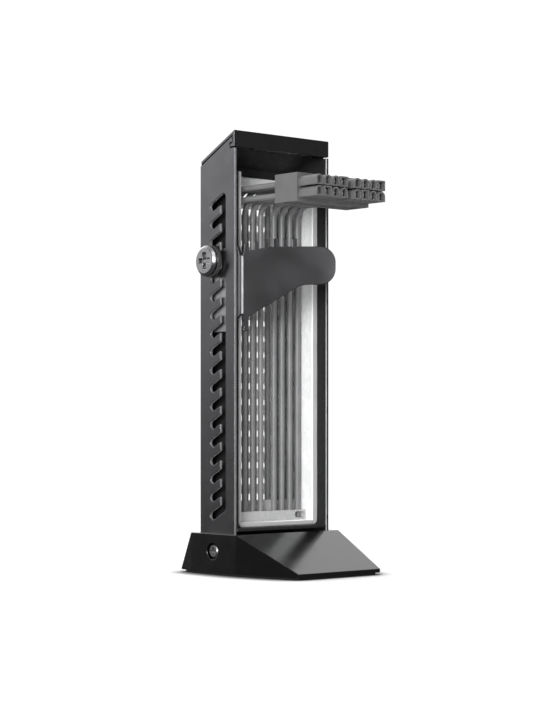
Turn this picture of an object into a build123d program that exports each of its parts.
from build123d import *
import os
from math import atan2, cos, degrees, hypot, radians, sin

os.makedirs("parts", exist_ok=True)

# Graphics card support bracket: a folded steel tower on a wedge base. A support arm hooks into one
# of the sawtooth slots in the tower's side, and a thumbscrew clamps it there. The card's power
# leads run up a tray inside the tower and end in two plugs ahead of it.
# Millimetres, +Z up, the front faces -Y. The origin is the centre of the base's underside.

# Tower
tower_width = 49.5
tower_depth = 20.6
tower_height = 170.8
sheet = 1.2
bend_radius = 0.5
roof_drop = 10.7
lip_height = 6.4
lip_return = 2.4
seam = 0.4
roof_inset = 0.7
guide_gap = 0.1
guide_wall = 1.1
floor_top = 18.0
shell_foot = 3.0

# Base
base_length = 63.9
base_reach = 32.7
base_overlap = 2.2
block_ahead = 3.3
block_behind = 2.9
base_height = 15.8
front_lip_thickness = 2.3
rear_lip_thickness = 1.5
front_lip_width = 42.6
rear_lip_width = 51.0
pad_thickness = 0.9
pad_inset = 1.4
pocket_clearance = 0.15

# Sawtooth slots
tooth_count = 18
slot_width = 3.3
spine_depth = 6.8
seat_depth = 12.7
tooth_rise = 3.1
top_seat_drop = 28.6
lowest_seat = 22.63
used_seat = 3

# Cable tray
tray_left_gap = 5.5
tray_recess = 5.1
tray_left_wall = 1.5
tray_right_wall = 2.9
tray_back = 1.2
tray_floor = 2.0
tray_top_drop = 14.8
tray_corner = 2.0
vent_count = 20
vent_height = 2.3
vent_length = 14.5
lowest_vent = 29.1
top_vent_drop = 7.6
window_side = 4.0
window_end = 3.0
window_corner = 3.0

# Power leads and plugs
wire_diameter = 2.2
wire_pitch = 4.2
group_gap = 7.0
front_row_depth = 11.3
rear_row_depth = 15.3
wire_bend = 6.0
wire_clearance = 0.1
wire_seat = 3.0
row_pitch = 4.2
plug_drop = 23.5
plug_rear = 14.3
plug_block_length = 12.5
silo_length = 9.9
silo_size = 3.9
silo_hole = 2.7
silo_hole_depth = 7.0
plug_gap = 0.2
plug_margin = 0.75
plug_side = silo_size / 2 + plug_margin
rim_height = 0.6
rim_length = 2.6
plug_end_wall = 1.0
block_front_top = 23.8
block_rear_top = 28.0
block_front_margin = 2.3
block_slot_place = 17.6
block_slot_length = 5.4
block_slot_height = 2.5
block_slot_depth = 2.0
contact_size = 1.8
contact_bore = 1.1
contact_length = 5.0

# Support arm, thumbscrew and nut
arm_sheet = 1.4
arm_gap = 0.3
arm_fold_ahead = 1.6
arm_fold_radius = 0.3
arm_swing = 41.5
arm_length = 35.3
arm_top_rise = 4.9
arm_end_drop = 9.7
arm_end_radius = 6.0
arm_root_rise = 2.8
arm_root_drop = 21.9
arm_strip_rise = 1.5
arm_strip_drop = 21.0
arm_tab_width = 2.0
arm_tab_drop = 27.5
arm_slant_end = 22.2
flange_depth = 16.0
flange_corner = 1.5
comb_ramp = 10.5
comb_start = 1.3
comb_count = 6
comb_pitch = 3.66
comb_width = 1.9
comb_height = 3.0
comb_stem = 5.0
arm_throat_radius = 9.0
screw_diameter = 2.9
screw_clearance = 0.2
head_diameter = 12.0
head_thickness = 2.1
collar_diameter = 12.4
collar_thickness = 2.2
collar_gap = 0.2
head_bevel = 0.5
cross_length = 6.4
cross_width = 1.9
cross_depth = 1.3
cross_taper = 15
thread_clearance = 0.05
nut_width = 5.5
nut_corner = 0.45
nut_thickness = 2.0

# Base screws
base_screw_depth = 10.5
base_screw_height = 9.0
base_screw_shank = 2.4
base_screw_head = 5.2
base_screw_head_height = 1.2
base_screw_head_bevel = 0.5
base_screw_length = 7.0
base_screw_recess = 1.6
base_screw_gap = 0.6
base_cross_length = 3.2
base_cross_width = 0.8
base_cross_depth = 0.7

# Places worked out from the sizes above
half_width = tower_width / 2
front_y = base_reach - base_length / 2
rear_y = front_y + tower_depth
inner_left = -half_width + sheet
inner_right = half_width - sheet
seat_y = front_y + seat_depth
spine_y = front_y + spine_depth
top_seat_height = tower_height - top_seat_drop
tooth_pitch = (top_seat_height - lowest_seat) / (tooth_count - 1)
seat_z = top_seat_height - used_seat * tooth_pitch
tooth_run = seat_depth - spine_depth
tooth_travel = hypot(tooth_run, tooth_rise)
tooth_angle = degrees(atan2(tooth_rise, tooth_run))
tray_left = inner_left + tray_left_gap
tray_right = inner_right
channel_left = tray_left + tray_left_wall
channel_right = tray_right - tray_right_wall
channel_width = channel_right - channel_left
tray_middle = (channel_left + channel_right) / 2
tray_front = front_y + tray_recess
tray_rear = rear_y - sheet
tray_top = tower_height - tray_top_drop
vent_span = tray_top - top_vent_drop - lowest_vent
vent_pitch = vent_span / (vent_count - 1)
wire_columns = [
    tray_middle + side * group_gap / 2 + side_step * wire_pitch
    for side, side_steps in ((-1, (-3, -2, -1, 0)), (1, (0, 1, 2, 3)))
    for side_step in side_steps
]
plug_height = tower_height - plug_drop
upper_row = plug_height + row_pitch / 2
lower_row = plug_height - row_pitch / 2
plug_rear_y = front_y - plug_rear
plug_face_y = plug_rear_y - plug_block_length
arm_top = seat_z + arm_top_rise
arm_end_bottom = seat_z - arm_end_drop
arm_root_top = seat_z + arm_root_rise
arm_root_bottom = seat_z - arm_root_drop
arm_strip_top = seat_z + arm_strip_rise
arm_strip_bottom = seat_z - arm_strip_drop
arm_tab_bottom = seat_z - arm_tab_drop


def lead(column, depth, row, block_top):
    """One power lead: up from the wire block, round a bend and forward into a plug."""
    low = (column, front_y + depth, block_top - wire_seat)
    corner = (column, front_y + depth, row)
    end = (column, plug_rear_y - wire_seat, row)
    with BuildPart() as tube:
        with BuildLine():
            FilletPolyline(low, corner, end, radius=wire_bend)
        with BuildSketch(Plane.XY.offset(low[2])):
            with Locations(low[:2]):
                Circle(wire_diameter / 2)
        sweep()
    return tube.part


def silo(size, shape):
    """A silo's outline: square, or with its upper half rounded into an arch."""
    if shape == "square":
        Rectangle(size, size)
    else:
        Circle(size / 2)
        Rectangle(size, size / 2, align=(Align.CENTER, Align.MAX))


# Tower shell: one folded sheet with an open front, a slanted roof and a front lip
roof_slope = roof_drop / tower_depth
roof_rise = sheet * hypot(1, roof_slope)
with BuildPart() as tower_shell:
    with BuildSketch(Plane.XY.offset(shell_foot)):
        with Locations((0, front_y + tower_depth / 2)):
            Rectangle(tower_width, tower_depth)
    extrude(amount=tower_height - shell_foot)
    with BuildSketch(Plane.XY.offset(shell_foot)):
        with Locations((0, front_y)):
            Rectangle(tower_width - 2 * sheet, 2 * (tower_depth - sheet))
    extrude(amount=tower_height - shell_foot, mode=Mode.SUBTRACT)
    # The sides stop a seam below the roof, and the back runs up into it
    with BuildSketch(Plane.YZ):
        with BuildLine():
            Polyline(
                (front_y, tower_height - roof_rise - seam),
                (rear_y - sheet, tower_height - roof_rise - seam - roof_slope * (tower_depth - sheet)),
                (rear_y - sheet, tower_height),
                (front_y, tower_height),
                close=True,
            )
        make_face()
    extrude(amount=half_width, both=True, mode=Mode.SUBTRACT)
    with BuildSketch(Plane.YZ):
        with BuildLine():
            Polyline(
                (front_y, tower_height),
                (rear_y, tower_height - roof_drop),
                (rear_y, tower_height),
                close=True,
            )
        make_face()
        with Locations((front_y, tower_height - lip_height / 2)):
            Rectangle(2 * (sheet + seam), lip_height + 2 * seam)
        with Locations((front_y, tower_height - lip_height + sheet / 2)):
            Rectangle(2 * (lip_return + seam), sheet + 2 * seam)
    extrude(amount=half_width, both=True, mode=Mode.SUBTRACT)
    # Roof, lip and the lip's short return
    with BuildSketch(Plane.YZ):
        with BuildLine():
            Polyline(
                (rear_y, tower_height - roof_drop),
                (front_y, tower_height),
                (front_y, tower_height - lip_height),
                (front_y + lip_return, tower_height - lip_height),
                (front_y + lip_return, tower_height - lip_height + sheet),
                (front_y + sheet, tower_height - lip_height + sheet),
                (front_y + sheet, tower_height - roof_rise - roof_slope * sheet),
                (rear_y, tower_height - roof_rise - roof_drop),
                close=True,
            )
        make_face()
    extrude(amount=half_width, both=True)
    # The rear corners are bends, all the way up into the roof
    with BuildSketch(Plane.XY.offset(shell_foot)):
        with Locations((0, front_y + tower_depth / 2)):
            Rectangle(tower_width, tower_depth)
        fillet(vertices().group_by(Axis.Y)[-1], bend_radius)
    extrude(amount=tower_height - shell_foot, mode=Mode.INTERSECT)
    # The roof stops a little ahead of the back
    with BuildSketch(Plane.YZ):
        with Locations((rear_y, tower_height - roof_drop - roof_rise)):
            Rectangle(2 * roof_inset, roof_drop, align=(Align.CENTER, Align.MIN))
    extrude(amount=half_width, both=True, mode=Mode.SUBTRACT)
    # Floor tab folded forward from the back
    with BuildSketch(Plane.YZ):
        with Locations((front_y, floor_top - sheet)):
            Rectangle(tower_depth - sheet / 2, sheet, align=(Align.MIN, Align.MIN))
    extrude(amount=half_width - sheet - seam, both=True)
    # Sawtooth slots through the left side
    with BuildSketch(Plane.YZ):
        spine_top = top_seat_height + tooth_rise + slot_width / 2
        spine_length = (tooth_count - 1) * tooth_pitch + slot_width
        with Locations((spine_y, spine_top - spine_length / 2)):
            SlotOverall(spine_length, slot_width, rotation=90)
        tooth_y = (seat_y + spine_y) / 2
        top_tooth_z = top_seat_height + tooth_rise / 2
        tooth_places = [(tooth_y, top_tooth_z - tooth * tooth_pitch) for tooth in range(tooth_count)]
        with Locations(*tooth_places):
            SlotCenterToCenter(tooth_travel, slot_width, rotation=-tooth_angle)
    extrude(amount=-half_width, mode=Mode.SUBTRACT)
    # Guide wall between the arm's flange and the tray
    with BuildSketch(Plane.YZ.offset(tray_left - guide_gap - guide_wall)):
        with BuildLine():
            Polyline(
                (tray_front, floor_top - sheet / 2),
                (rear_y - sheet / 2, floor_top - sheet / 2),
                (rear_y - sheet / 2, tray_top),
                (tray_front, tray_top),
                close=True,
            )
        make_face()
    extrude(amount=guide_wall)
    # Window in the back behind the tray's vents
    with BuildSketch(Plane.XZ.offset(-rear_y)):
        window_width = vent_length + 2 * window_side
        window_height = vent_span + vent_height + 2 * window_end
        with Locations((0, lowest_vent + vent_span / 2)):
            RectangleRounded(window_width, window_height, window_corner)
    extrude(amount=2 * sheet, both=True, mode=Mode.SUBTRACT)
    # Holes for the base screws
    with BuildSketch(Plane.YZ):
        with Locations((front_y + base_screw_depth, base_screw_height)):
            Circle(base_screw_shank / 2 + screw_clearance)
    extrude(amount=half_width, both=True, mode=Mode.SUBTRACT)
tower_shell.part.label = "tower_shell"
export_step(tower_shell.part, "parts/tower_shell.step")

# Cable tray: an open-fronted moulding with a ladder of vents in its back
tray_width = tray_right - tray_left
tray_depth = tray_rear - tray_front
tray_height = tray_top - floor_top
with BuildPart() as cable_tray:
    with BuildSketch(Plane.XZ.offset(-tray_rear)):
        with Locations((tray_left, floor_top)):
            Rectangle(tray_width, tray_height, align=(Align.MIN, Align.MIN))
        fillet(vertices().group_by(Axis.Y)[0], tray_corner)
    extrude(amount=tray_depth)
    with BuildSketch(Plane.XZ.offset(-(tray_rear - tray_back))):
        with Locations((tray_middle, floor_top + tray_floor)):
            Rectangle(channel_width, tray_height, align=(Align.CENTER, Align.MIN))
    extrude(amount=tray_depth, mode=Mode.SUBTRACT)
    with BuildSketch(Plane.XZ.offset(-tray_rear)):
        vent_places = [(0, lowest_vent + vent * vent_pitch) for vent in range(vent_count)]
        with Locations(*vent_places):
            SlotOverall(vent_length, vent_height)
    extrude(amount=tray_back, mode=Mode.SUBTRACT)
cable_tray.part.label = "cable_tray"
export_step(cable_tray.part, "parts/cable_tray.step")

# Wire block: a stepped block in the foot of the tray with a bore for each lead
block_base = floor_top + tray_floor
block_front_y = front_y + front_row_depth - block_front_margin
block_step_y = front_y + (front_row_depth + rear_row_depth) / 2
block_rear_y = tray_rear - tray_back
with BuildPart() as wire_block:
    with BuildSketch(Plane.YZ.offset(tray_middle)):
        with BuildLine():
            Polyline(
                (block_front_y, block_base),
                (block_front_y, block_front_top),
                (block_step_y, block_front_top),
                (block_step_y, block_rear_top),
                (block_rear_y, block_rear_top),
                (block_rear_y, block_base),
                close=True,
            )
        make_face()
    extrude(amount=channel_width / 2, both=True)
    for depth, top in ((front_row_depth, block_front_top), (rear_row_depth, block_rear_top)):
        with BuildSketch(Plane.XY.offset(top)):
            with Locations(*[(column, front_y + depth) for column in wire_columns]):
                Circle(wire_diameter / 2 + wire_clearance)
        extrude(amount=-wire_seat, mode=Mode.SUBTRACT)
    with BuildSketch(Plane.XZ.offset(-block_front_y)):
        with Locations((block_slot_place, (block_base + block_front_top) / 2)):
            SlotOverall(block_slot_length, block_slot_height)
    extrude(amount=-block_slot_depth, mode=Mode.SUBTRACT)
wire_block.part.label = "wire_block"
export_step(wire_block.part, "parts/wire_block.step")

# Power leads, numbered from the left
for row_name, depth, row, top in (
    ("front", front_row_depth, lower_row, block_front_top),
    ("rear", rear_row_depth, upper_row, block_rear_top),
):
    for number, column in enumerate(wire_columns, start=1):
        wire = lead(column, depth, row, top)
        wire.label = f"wire_{row_name}_{number}"
        export_step(wire, f"parts/{wire.label}.step")

# Plugs: a rimmed block with two rows of silos, some arched and some square
silo_shapes = (("arch", "arch", "arch", "square"), ("arch", "square", "arch", "arch"))
for side, columns in (("left", wire_columns[:4]), ("right", wire_columns[4:])):
    plug_outer = columns[0] - plug_side if side == "left" else columns[-1] + plug_side
    plug_inner = tray_middle - plug_gap / 2 if side == "left" else tray_middle + plug_gap / 2
    core_height = row_pitch + silo_size + 2 * plug_margin
    with BuildPart() as plug:
        with BuildSketch(Plane.YZ.offset(plug_outer)):
            with Locations(((plug_rear_y + plug_face_y) / 2, plug_height)):
                Rectangle(plug_block_length, core_height)
            rim_places = (plug_rear_y - rim_length / 2, plug_face_y + rim_length / 2)
            with Locations(*[(place, plug_height) for place in rim_places]):
                Rectangle(rim_length, core_height + 2 * rim_height)
        extrude(amount=plug_inner - plug_outer)
        with BuildSketch(Plane.YZ.offset(plug_outer)):
            with Locations(((plug_rear_y + plug_face_y) / 2, plug_height)):
                Rectangle(plug_block_length, core_height + 2 * rim_height)
        extrude(amount=plug_end_wall if side == "left" else -plug_end_wall)
        for row, shapes in zip((upper_row, lower_row), silo_shapes):
            for column, shape in zip(columns, shapes):
                with BuildSketch(Plane.XZ.offset(-plug_face_y)):
                    with Locations((column, row)):
                        silo(silo_size, shape)
                extrude(amount=silo_length)
        for row, shapes in zip((upper_row, lower_row), silo_shapes):
            for column, shape in zip(columns, shapes):
                with BuildSketch(Plane.XZ.offset(-(plug_face_y - silo_length))):
                    with Locations((column, row)):
                        silo(silo_hole, shape)
                extrude(amount=-silo_hole_depth, mode=Mode.SUBTRACT)
        with BuildSketch(Plane.XZ.offset(-plug_rear_y)):
            with Locations(*[(column, row) for column in columns for row in (upper_row, lower_row)]):
                Circle(wire_diameter / 2 + wire_clearance)
        extrude(amount=wire_seat, mode=Mode.SUBTRACT)
    plug.part.label = f"plug_{side}"
    export_step(plug.part, f"parts/plug_{side}.step")

    # Socket contacts: square tubes at the bottom of the silos
    with BuildPart() as contacts:
        with BuildSketch(Plane.XZ.offset(-(plug_face_y - silo_length + silo_hole_depth))):
            with Locations(*[(column, row) for column in columns for row in (upper_row, lower_row)]):
                Rectangle(contact_size, contact_size)
                Rectangle(contact_bore, contact_bore, mode=Mode.SUBTRACT)
        extrude(amount=contact_length)
    contacts.part.label = f"plug_contacts_{side}"
    export_step(contacts.part, f"parts/plug_contacts_{side}.step")

# Support arm: a flange inside the tower's left side, a fold and a plate that swings forward
flange_left = inner_left + arm_gap
fold_y = front_y - arm_fold_ahead
fold_centre_x = flange_left + arm_sheet + arm_fold_radius
swing = radians(arm_swing)
plate_normal = Vector(-sin(swing), -cos(swing), 0)
plate_start = Vector(fold_centre_x, fold_y, 0) + plate_normal * (arm_fold_radius + arm_sheet)
plate_plane = Plane(origin=plate_start, x_dir=(cos(swing), -sin(swing), 0), z_dir=plate_normal)
with BuildPart() as support_arm:
    with BuildSketch(Plane.YZ.offset(flange_left)):
        with BuildLine():
            Polyline(
                (fold_y, arm_strip_bottom),
                (spine_y, arm_tab_bottom),
                (front_y + flange_depth, arm_tab_bottom),
                (front_y + flange_depth, arm_top),
                (front_y, arm_top),
                (fold_y, arm_strip_top),
                close=True,
            )
        make_face()
        fillet(vertices().group_by(Axis.X)[-1], flange_corner)
        with Locations((seat_y, seat_z)):
            Circle(screw_diameter / 2 + screw_clearance, mode=Mode.SUBTRACT)
    extrude(amount=arm_sheet)
    with BuildSketch(Plane.XZ.offset(-fold_y)):
        with Locations((flange_left, arm_strip_bottom)):
            Rectangle(arm_sheet, arm_strip_top - arm_strip_bottom, align=(Align.MIN, Align.MIN))
    revolve(axis=Axis((fold_centre_x, fold_y, 0), (0, 0, 1)), revolution_arc=90 - arm_swing)
    with BuildSketch(plate_plane):
        with BuildLine():
            Polyline(
                (0, arm_tab_bottom),
                (arm_tab_width, arm_tab_bottom),
                (arm_tab_width, arm_root_bottom),
                (arm_slant_end, arm_end_bottom),
                (arm_length, arm_end_bottom),
                (arm_length, arm_top),
                (comb_ramp, arm_top),
                (0, arm_root_top),
                close=True,
            )
        make_face()
        fillet(vertices().group_by(Axis.X)[-1], arm_end_radius)
        fillet(vertices().sort_by_distance((arm_slant_end, arm_end_bottom))[0], arm_throat_radius)
        for tooth in range(comb_count):
            place = comb_start + tooth * comb_pitch
            floor = arm_root_top + (arm_top - arm_root_top) * min(place / comb_ramp, 1)
            with Locations((place, floor + comb_height - comb_stem / 2)):
                SlotOverall(comb_stem, comb_width, rotation=90)
    extrude(amount=-arm_sheet)
support_arm.part.label = "support_arm"
export_step(support_arm.part, "parts/support_arm.step")

# Clamp nut: a square nut against the flange
flange_right = flange_left + arm_sheet
with BuildPart() as clamp_nut:
    with BuildSketch(Plane.YZ.offset(flange_right)):
        with Locations((seat_y, seat_z)):
            RectangleRounded(nut_width, nut_width, nut_corner)
            Circle(screw_diameter / 2 + thread_clearance, mode=Mode.SUBTRACT)
    extrude(amount=nut_thickness)
clamp_nut.part.label = "clamp_nut"
export_step(clamp_nut.part, "parts/clamp_nut.step")

# Thumbscrew: a bevelled head with a cross recess, and a shank through the slot and the nut
collar_right = -half_width - collar_gap
collar_left = collar_right - collar_thickness
head_left = collar_left - head_thickness
with BuildPart() as thumbscrew:
    with BuildSketch(Plane.YZ.offset(head_left)):
        with Locations((seat_y, seat_z)):
            Circle(head_diameter / 2)
    extrude(amount=head_thickness)
    chamfer(thumbscrew.edges().group_by(Axis.X)[0], head_bevel)
    with BuildSketch(Plane.YZ.offset(collar_left)):
        with Locations((seat_y, seat_z)):
            Circle(screw_diameter / 2)
    extrude(amount=flange_right + nut_thickness - collar_left)
    with BuildSketch(Plane.YZ.offset(head_left)):
        with Locations((seat_y, seat_z)):
            Rectangle(cross_length, cross_width)
            Rectangle(cross_width, cross_length)
    extrude(amount=cross_depth, taper=cross_taper, mode=Mode.SUBTRACT)
thumbscrew.part.label = "thumbscrew"
export_step(thumbscrew.part, "parts/thumbscrew.step")

# Screw collar: a plain dark spacer between the head and the tower's side
with BuildPart() as screw_collar:
    with BuildSketch(Plane.YZ.offset(collar_left)):
        with Locations((seat_y, seat_z)):
            Circle(collar_diameter / 2)
            Circle(screw_diameter / 2 + thread_clearance, mode=Mode.SUBTRACT)
    extrude(amount=collar_thickness)
    inner_rims = screw_collar.edges().filter_by(GeomType.CIRCLE).group_by(Axis.X)[-1]
    chamfer(inner_rims.sort_by(SortBy.RADIUS)[-1], head_bevel)
screw_collar.part.label = "screw_collar"
export_step(screw_collar.part, "parts/screw_collar.step")

# Base: a central block with a front wedge, a short rear slope and a pocket for the tower's foot
base_width = tower_width + 2 * base_overlap
block_front = front_y - block_ahead
block_rear = rear_y + block_behind
base_front = front_y - base_reach
base_rear = base_front + base_length
base_stations = (
    (base_front, front_lip_width, front_lip_thickness),
    (block_front, base_width, base_height),
    (block_rear, base_width, base_height),
    (base_rear, rear_lip_width, rear_lip_thickness),
)
with BuildPart() as base:
    for station, next_station in zip(base_stations, base_stations[1:]):
        for place, width, top in (station, next_station):
            with BuildSketch(Plane.XZ.offset(-place)):
                with Locations((0, pad_thickness)):
                    Rectangle(width, top - pad_thickness, align=(Align.CENTER, Align.MIN))
        loft(ruled=True)
    with BuildSketch(Plane.XY.offset(shell_foot)):
        with Locations((0, front_y + tower_depth / 2)):
            Rectangle(tower_width + 2 * pocket_clearance, tower_depth + 2 * pocket_clearance)
    extrude(amount=base_height, mode=Mode.SUBTRACT)
    with BuildSketch(Plane.YZ):
        with Locations((front_y + base_screw_depth, base_screw_height)):
            Circle(base_screw_shank / 2 + screw_clearance)
    extrude(amount=base_width, both=True, mode=Mode.SUBTRACT)
    for side in (-1, 1):
        with BuildSketch(Plane.YZ.offset(side * base_width / 2)):
            with Locations((front_y + base_screw_depth, base_screw_height)):
                Circle(base_screw_head / 2 + base_screw_gap)
        extrude(amount=-side * base_screw_recess, mode=Mode.SUBTRACT)
base.part.label = "base"
export_step(base.part, "parts/base.step")

# Foot pad: thin, and set in from the base's outline
with BuildPart() as base_pad:
    with BuildSketch():
        with BuildLine():
            right_side = [(width / 2, place) for place, width, top in base_stations]
            left_side = [(-x, y) for x, y in reversed(right_side)]
            Polyline(*right_side, *left_side, close=True)
        make_face()
        offset(amount=-pad_inset, kind=Kind.INTERSECTION, mode=Mode.REPLACE)
    extrude(amount=pad_thickness)
base_pad.part.label = "base_pad"
export_step(base_pad.part, "parts/base_pad.step")

# Base screws: one from each side, through the base into the tower's side
for side_name, side in (("left", -1), ("right", 1)):
    head_face = base_width / 2 - base_screw_recess + base_screw_head_height
    with BuildPart() as base_screw:
        with BuildSketch(Plane.YZ.offset(side * head_face)):
            with Locations((front_y + base_screw_depth, base_screw_height)):
                Circle(base_screw_head / 2)
        extrude(amount=-side * base_screw_head_height)
        outer_rim = base_screw.edges().group_by(Axis.X)[-1 if side > 0 else 0]
        chamfer(outer_rim, base_screw_head_bevel)
        with BuildSketch(Plane.YZ.offset(side * head_face)):
            with Locations((front_y + base_screw_depth, base_screw_height)):
                Circle(base_screw_shank / 2)
        extrude(amount=-side * base_screw_length)
        with BuildSketch(Plane.YZ.offset(side * head_face)):
            with Locations((front_y + base_screw_depth, base_screw_height)):
                Rectangle(base_cross_length, base_cross_width)
                Rectangle(base_cross_width, base_cross_length)
        extrude(amount=-side * base_cross_depth, mode=Mode.SUBTRACT)
    base_screw.part.label = f"base_screw_{side_name}"
    export_step(base_screw.part, f"parts/base_screw_{side_name}.step")
